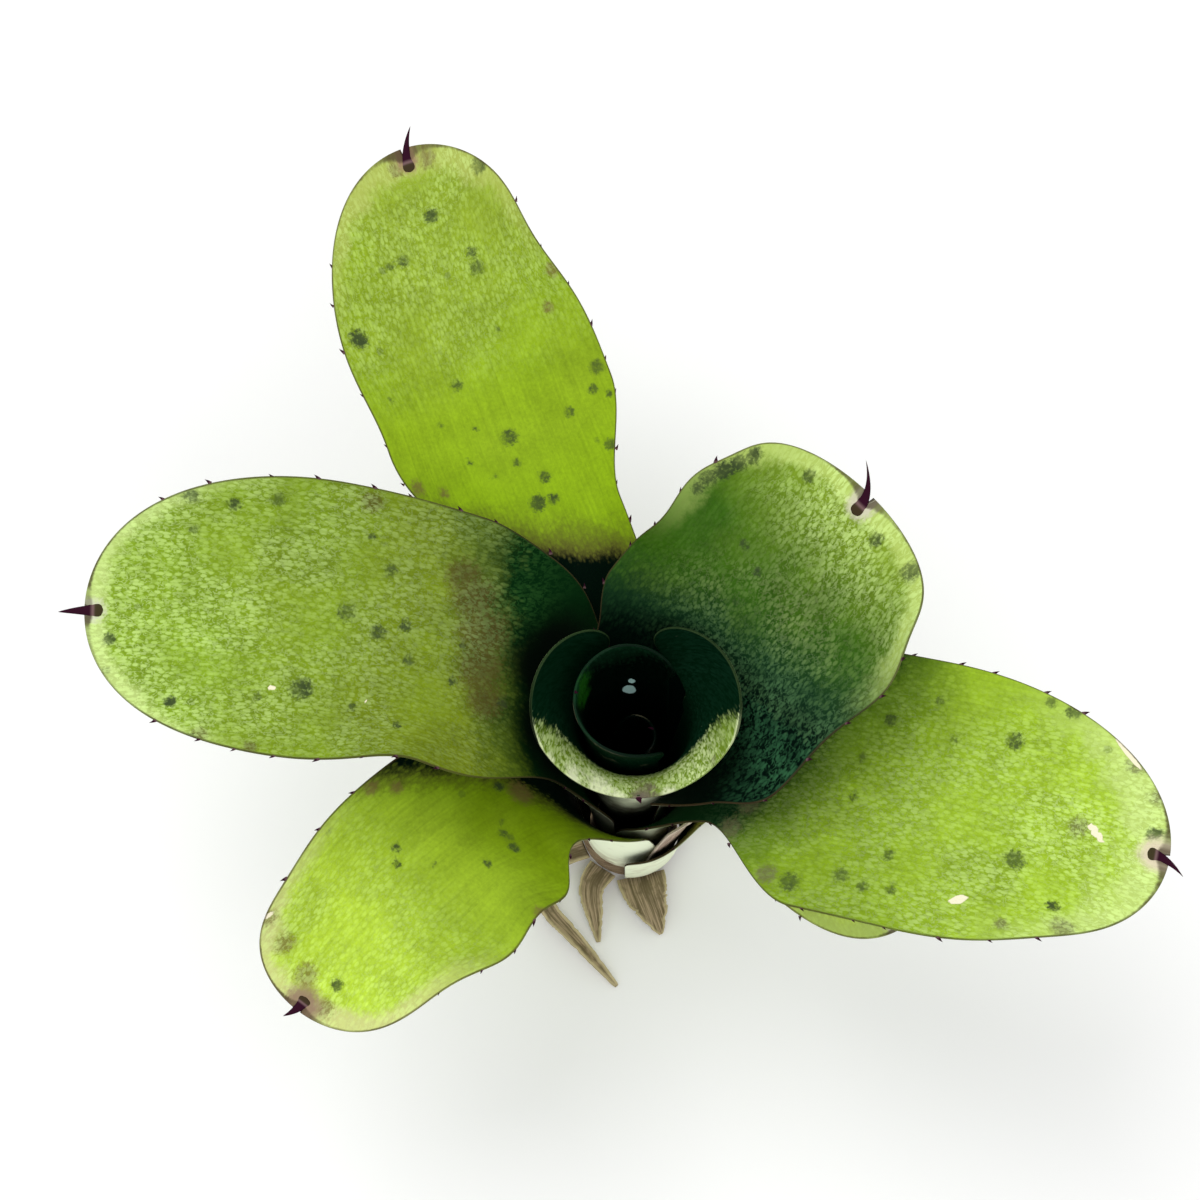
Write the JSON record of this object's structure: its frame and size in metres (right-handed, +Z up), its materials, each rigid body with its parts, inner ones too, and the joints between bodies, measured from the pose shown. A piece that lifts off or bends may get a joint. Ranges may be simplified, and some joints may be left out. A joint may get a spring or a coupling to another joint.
{
  "type": "bromeliad plant",
  "caption": "Small bromeliad rosette as picked, standing on its cut stem: broad spotted green leaves with fine marginal spines clasp one another round a dark cup, with dry bracts at the foot",
  "frame": {"origin": "on the surface the plant stands on, under the middle of its outline seen from above", "axes": "+Z up along the stem, +X towards the broad leaf on the right, +Y towards the long leaf at the back, so -Y is the front"},
  "size_m": [0.2194, 0.1902, 0.1264],
  "materials": {
    "leaf_green": "leathery yellow green leaf with pale scurf, dark spots and a thin dark margin",
    "leaf_cup": "leathery dark blue green leaf with heavy pale scurf",
    "stem_wood": "rough fibrous stem, cut flat",
    "dry_bract": "dry brown papery old leaf"
  },
  "bodies": {
    "root": {"stem": "stem_wood", "leaf_low_right": "leaf_green", "leaf_front_left": "leaf_green", "leaf_back": "leaf_green", "leaf_right": "leaf_green", "leaf_left": "leaf_green", "leaf_hood": "leaf_cup", "leaf_cup_front": "leaf_cup", "leaf_cup_inner": "leaf_cup", "leaf_core": "leaf_cup", "bract_upright": "dry_bract", "bract_front": "dry_bract", "bract_front_left": "dry_bract", "bract_strip": "dry_bract", "bract_left": "dry_bract", "bract_back": "dry_bract", "bract_right": "dry_bract"}
  },
  "joints": []
}
